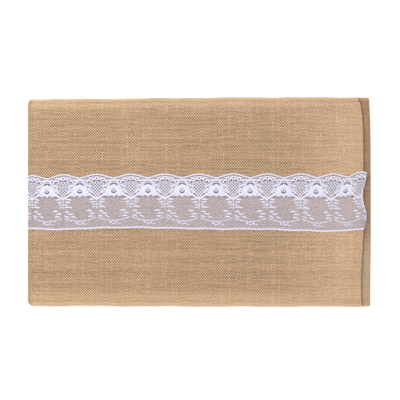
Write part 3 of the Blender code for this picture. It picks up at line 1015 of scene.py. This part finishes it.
for half, low, high in ((LOWER, cuts[0], cuts[1]), (0, cuts[1], cuts[2]), (UPPER, cuts[2], cuts[3])):
    parts = [trimmed(net_points, net_quads, low, high), trimmed(*figures, low, high)]
    part_points, part_faces = gathered(parts)
    net_y = parts[0][0][:, 1] / MM
    # Painted shade: the net takes its darker colour where this is 0.
    lit = np.concatenate([smooth((SHADE_ABOVE - net_y) / SHADE_FADE), np.ones(len(parts[1][0]))])
    name = NAMES.get(half, "fold")
    p, y, h = part_points[:, 0], LACE_FAR_Y + part_points[:, 1], part_points[:, 2]
    uv = np.stack([p, y], -1)
    piece = make_piece(f"lace_band_{name}", lay_lace(p, y, h), part_faces, uv, white_lace)
    layer = piece.data.attributes.new("lit", "FLOAT", "POINT")
    layer.data.foreach_set("value", lit.astype(np.float32))
    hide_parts(f"lace_{name}")
    place_piece(piece, half)

# -----------------------------------------------------------------------------
# The stitching: six rows of lockstitch, each a needle thread on the right side and a bobbin
# thread on the wrong one. Two rows hold the lace, one holds each side hem and one each end hem.
STITCH_PITCH = 0.0030
STITCH_LENGTH = 0.0024
STITCH_WIDTH = 0.00050
STITCH_HEIGHT = 0.0004
rng = np.random.default_rng(7)

lace_thread = cotton("lace_thread", (0.80, 0.77, 0.72), (0.60, 0.56, 0.50), SEWING_GRAIN)
hem_thread = cotton("hem_thread", (0.60, 0.42, 0.25), (0.42, 0.28, 0.15), SEWING_GRAIN)


def stitch_shape():
    """One stitch, 1 long, 1 wide and 1 high: a rounded bar, thin where it dives into the cloth."""
    along = np.array([-0.5, -0.34, 0.0, 0.34, 0.5])[:, None]
    size = np.array([0.30, 0.85, 1.0, 0.85, 0.30])[:, None]
    turn = np.radians(np.arange(0, 360, 60))
    across, up = 0.5 * size * np.cos(turn), 0.5 * size * np.sin(turn) + 0.5 * (size - 1) * 0.8
    points = np.stack(np.broadcast_arrays(along, across, up), -1)
    cap = np.array([[0, 1, 2, 3], [0, 3, 4, 5]])
    last = cap + len(turn) * (len(along) - 1)
    quads = np.concatenate([tube_quads(len(along), len(turn)), cap[:, ::-1], last])
    return outward(points.reshape(-1, 3), quads)


def stitch_row(name, node, half, centres, fixed, depth, arc, lengthwise, material):
    """A row of stitches with their middles at the centres, along the strip or across it, each a
    little off its line and askew. depth is one number or a function of the place along the row."""
    shape, faces = stitch_shape()
    count = len(centres)
    wobble = rng.normal(0, 0.00009, (count, 1))
    skew = rng.normal(0, 0.05, (count, 1))
    along = centres[:, None] + shape[None, :, 0] * STITCH_LENGTH
    side = fixed + wobble + (shape[None, :, 1] + skew * shape[None, :, 0]) * STITCH_WIDTH
    q, y = (along, side) if lengthwise else (half * side, along)
    base = depth(q) if callable(depth) else depth
    points = on_strip(q, y, base + shape[None, :, 2] * STITCH_HEIGHT, arc)
    uv = np.stack(np.broadcast_arrays(q, y), -1).reshape(-1, 2)
    quads = copies(faces, count, len(shape))
    piece = make_piece(name, points.reshape(-1, 3), quads, uv, material)
    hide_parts(node)
    return piece


def lengthwise_row(row, seam_y, thread_kind, depth, material, stop):
    """The three stretches of a row that runs the length of the strip, up to stop before its
    ends."""
    level = depth if not callable(depth) else float(depth(np.array(0.0)))
    arc = math.pi / 2 * level
    for half in (LOWER, 0, UPPER):
        name = NAMES.get(half, "fold")
        if half:
            reach = END_X[half] - FOLD_X - stop
            count = int(reach / STITCH_PITCH)
            centres = half * (arc + (np.arange(count) + 0.5) * reach / count)
        else:
            count = max(1, round(2 * arc / STITCH_PITCH))
            centres = arc * (2 * (np.arange(count) + 0.5) / count - 1)
        node = f"{row}_{thread_kind}_thread_{name}"
        name = f"{row}_{thread_kind}_stitches_{name}"
        piece = stitch_row(name, node, half, centres, seam_y, depth, arc, True, material)
        place_piece(piece, half)


LACE_NEEDLE, HEM_NEEDLE, END_NEEDLE = LACE_IN + 0.00055, CLOTH_OUT + 0.00002, CLOTH_OUT + 0.00005
CLOTH_BOBBIN, HEM_BOBBIN, END_BOBBIN = CLOTH_IN - 0.00015, HEM_IN - 0.00012, HEM_IN - 0.0001
LACE_STOP, STOP = 0.0035, 0.0015  # how far before the cloth's end a row stops


def behind_lace(q):
    """A bobbin thread's depth: on the cloth's wrong side, and on the end hem once it is there."""
    hem_starts = np.where(q > 0, END_HEM_X[UPPER], END_HEM_X[LOWER])
    return np.where(FOLD_X + np.abs(q) > hem_starts, HEM_BOBBIN, CLOTH_BOBBIN)


for row in ("scallop_seam", "cord_seam"):
    at = middle_y(f"{row}_needle_thread_upper")
    lengthwise_row(row, at, "needle", LACE_NEEDLE, lace_thread, LACE_STOP)
    lengthwise_row(row, at, "bobbin", behind_lace, lace_thread, STOP)
for row in ("far_hem", "near_hem"):
    at = middle_y(f"{row}_needle_thread_upper")
    lengthwise_row(row, at, "needle", HEM_NEEDLE, hem_thread, STOP)
    lengthwise_row(row, at, "bobbin", HEM_BOBBIN, hem_thread, STOP)
for half in (LOWER, UPPER):
    low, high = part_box(f"end_hem_needle_thread_{NAMES[half]}")
    for kind, depth in (("needle", END_NEEDLE), ("bobbin", END_BOBBIN)):
        arc = math.pi / 2 * depth
        fixed = arc + (low.x + high.x) / 2 - FOLD_X
        count = int((high.y - low.y) / STITCH_PITCH)
        centres = low.y + (np.arange(count) + 0.5) * (high.y - low.y) / count
        name = f"end_hem_{kind}_stitches_{NAMES[half]}"
        node = f"end_hem_{kind}_thread_{NAMES[half]}"
        piece = stitch_row(
            name, node, half, centres, fixed, depth, arc, False, hem_thread
        )
        place_piece(piece, half)
